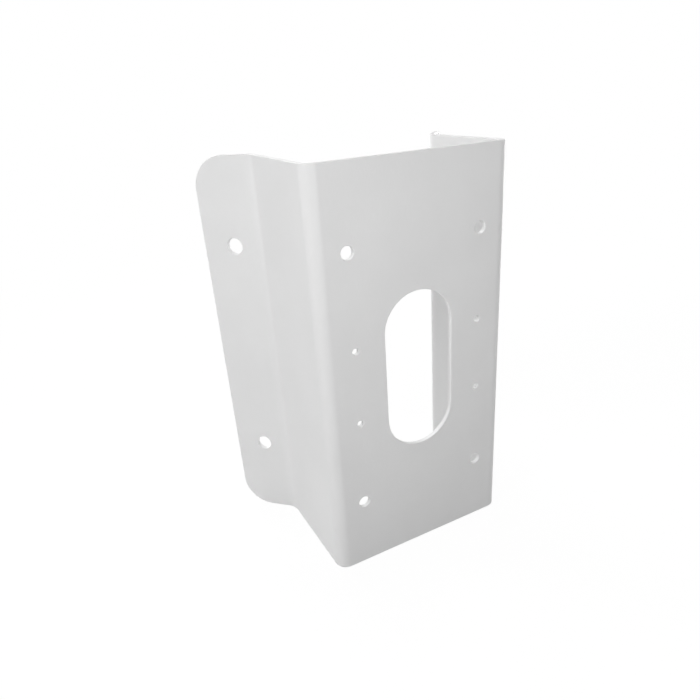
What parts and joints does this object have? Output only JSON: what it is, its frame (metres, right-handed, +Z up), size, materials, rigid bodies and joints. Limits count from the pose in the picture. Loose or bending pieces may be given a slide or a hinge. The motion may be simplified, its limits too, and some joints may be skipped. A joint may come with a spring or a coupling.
{
  "type": "camera corner bracket",
  "caption": "Folded sheet-steel bracket that carries a camera on a building's outside corner, with a drilled plate, a cable slot and angled wall flanges.",
  "frame": {"origin": "middle of the plate's front face, which is the centre of its outer and inner hole patterns and of the cable slot", "axes": "+Z up, along the bracket's height; -Y out of the plate towards the camera; +Y towards the building's corner; X across the plate, the part being symmetric about X = 0 and Z = 0"},
  "size_m": [0.1446, 0.084, 0.2],
  "materials": {
    "powder_coat": "smooth satin white powder coat on folded steel sheet"
  },
  "bodies": {
    "root": {"corner_bracket": "powder_coat"}
  },
  "joints": []
}
